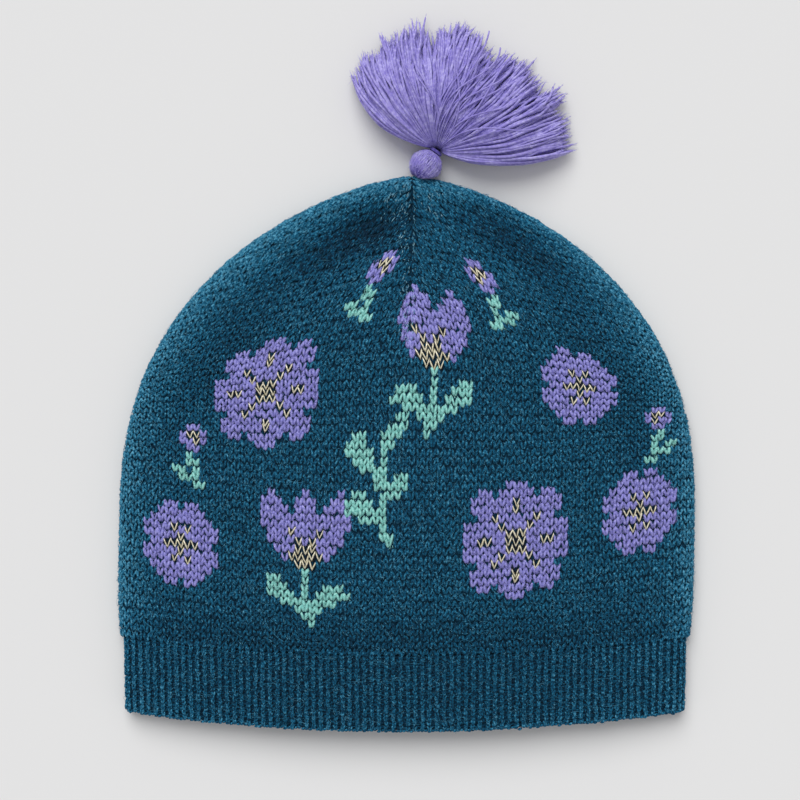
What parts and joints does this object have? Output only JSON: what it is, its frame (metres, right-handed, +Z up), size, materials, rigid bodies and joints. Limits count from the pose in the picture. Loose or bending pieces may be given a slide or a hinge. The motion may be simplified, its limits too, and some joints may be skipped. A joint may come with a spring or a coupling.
{
  "type": "tasselled knitted beanie",
  "caption": "Knitted wool beanie lying flat, with a ribbed band, a rounded crown and a fanned yarn tassel on its nose.",
  "frame": {"origin": "on the underside of the crown, on the middle line of the hat, 90 mm above the ends of the seam over the ribbing", "axes": "+Y from the mouth towards the tassel, +Z up from the surface that the hat lies on, +X across the hat to the right as seen from above"},
  "size_m": [0.2268, 0.2785, 0.0205],
  "materials": {
    "teal_wool_knit": "heathered wool in stocking stitch with a knitted-in flower pattern",
    "teal_wool_rib": "heathered wool in one-by-one ribbing",
    "lilac_yarn": "soft spun yarn, matt",
    "teal_thread": "dark sewing yarn"
  },
  "bodies": {
    "root": {"crown": "teal_wool_knit", "rib_band": "teal_wool_rib", "tassel": "lilac_yarn", "neck_tie": "lilac_yarn", "tassel_thread": "teal_thread"}
  },
  "joints": []
}
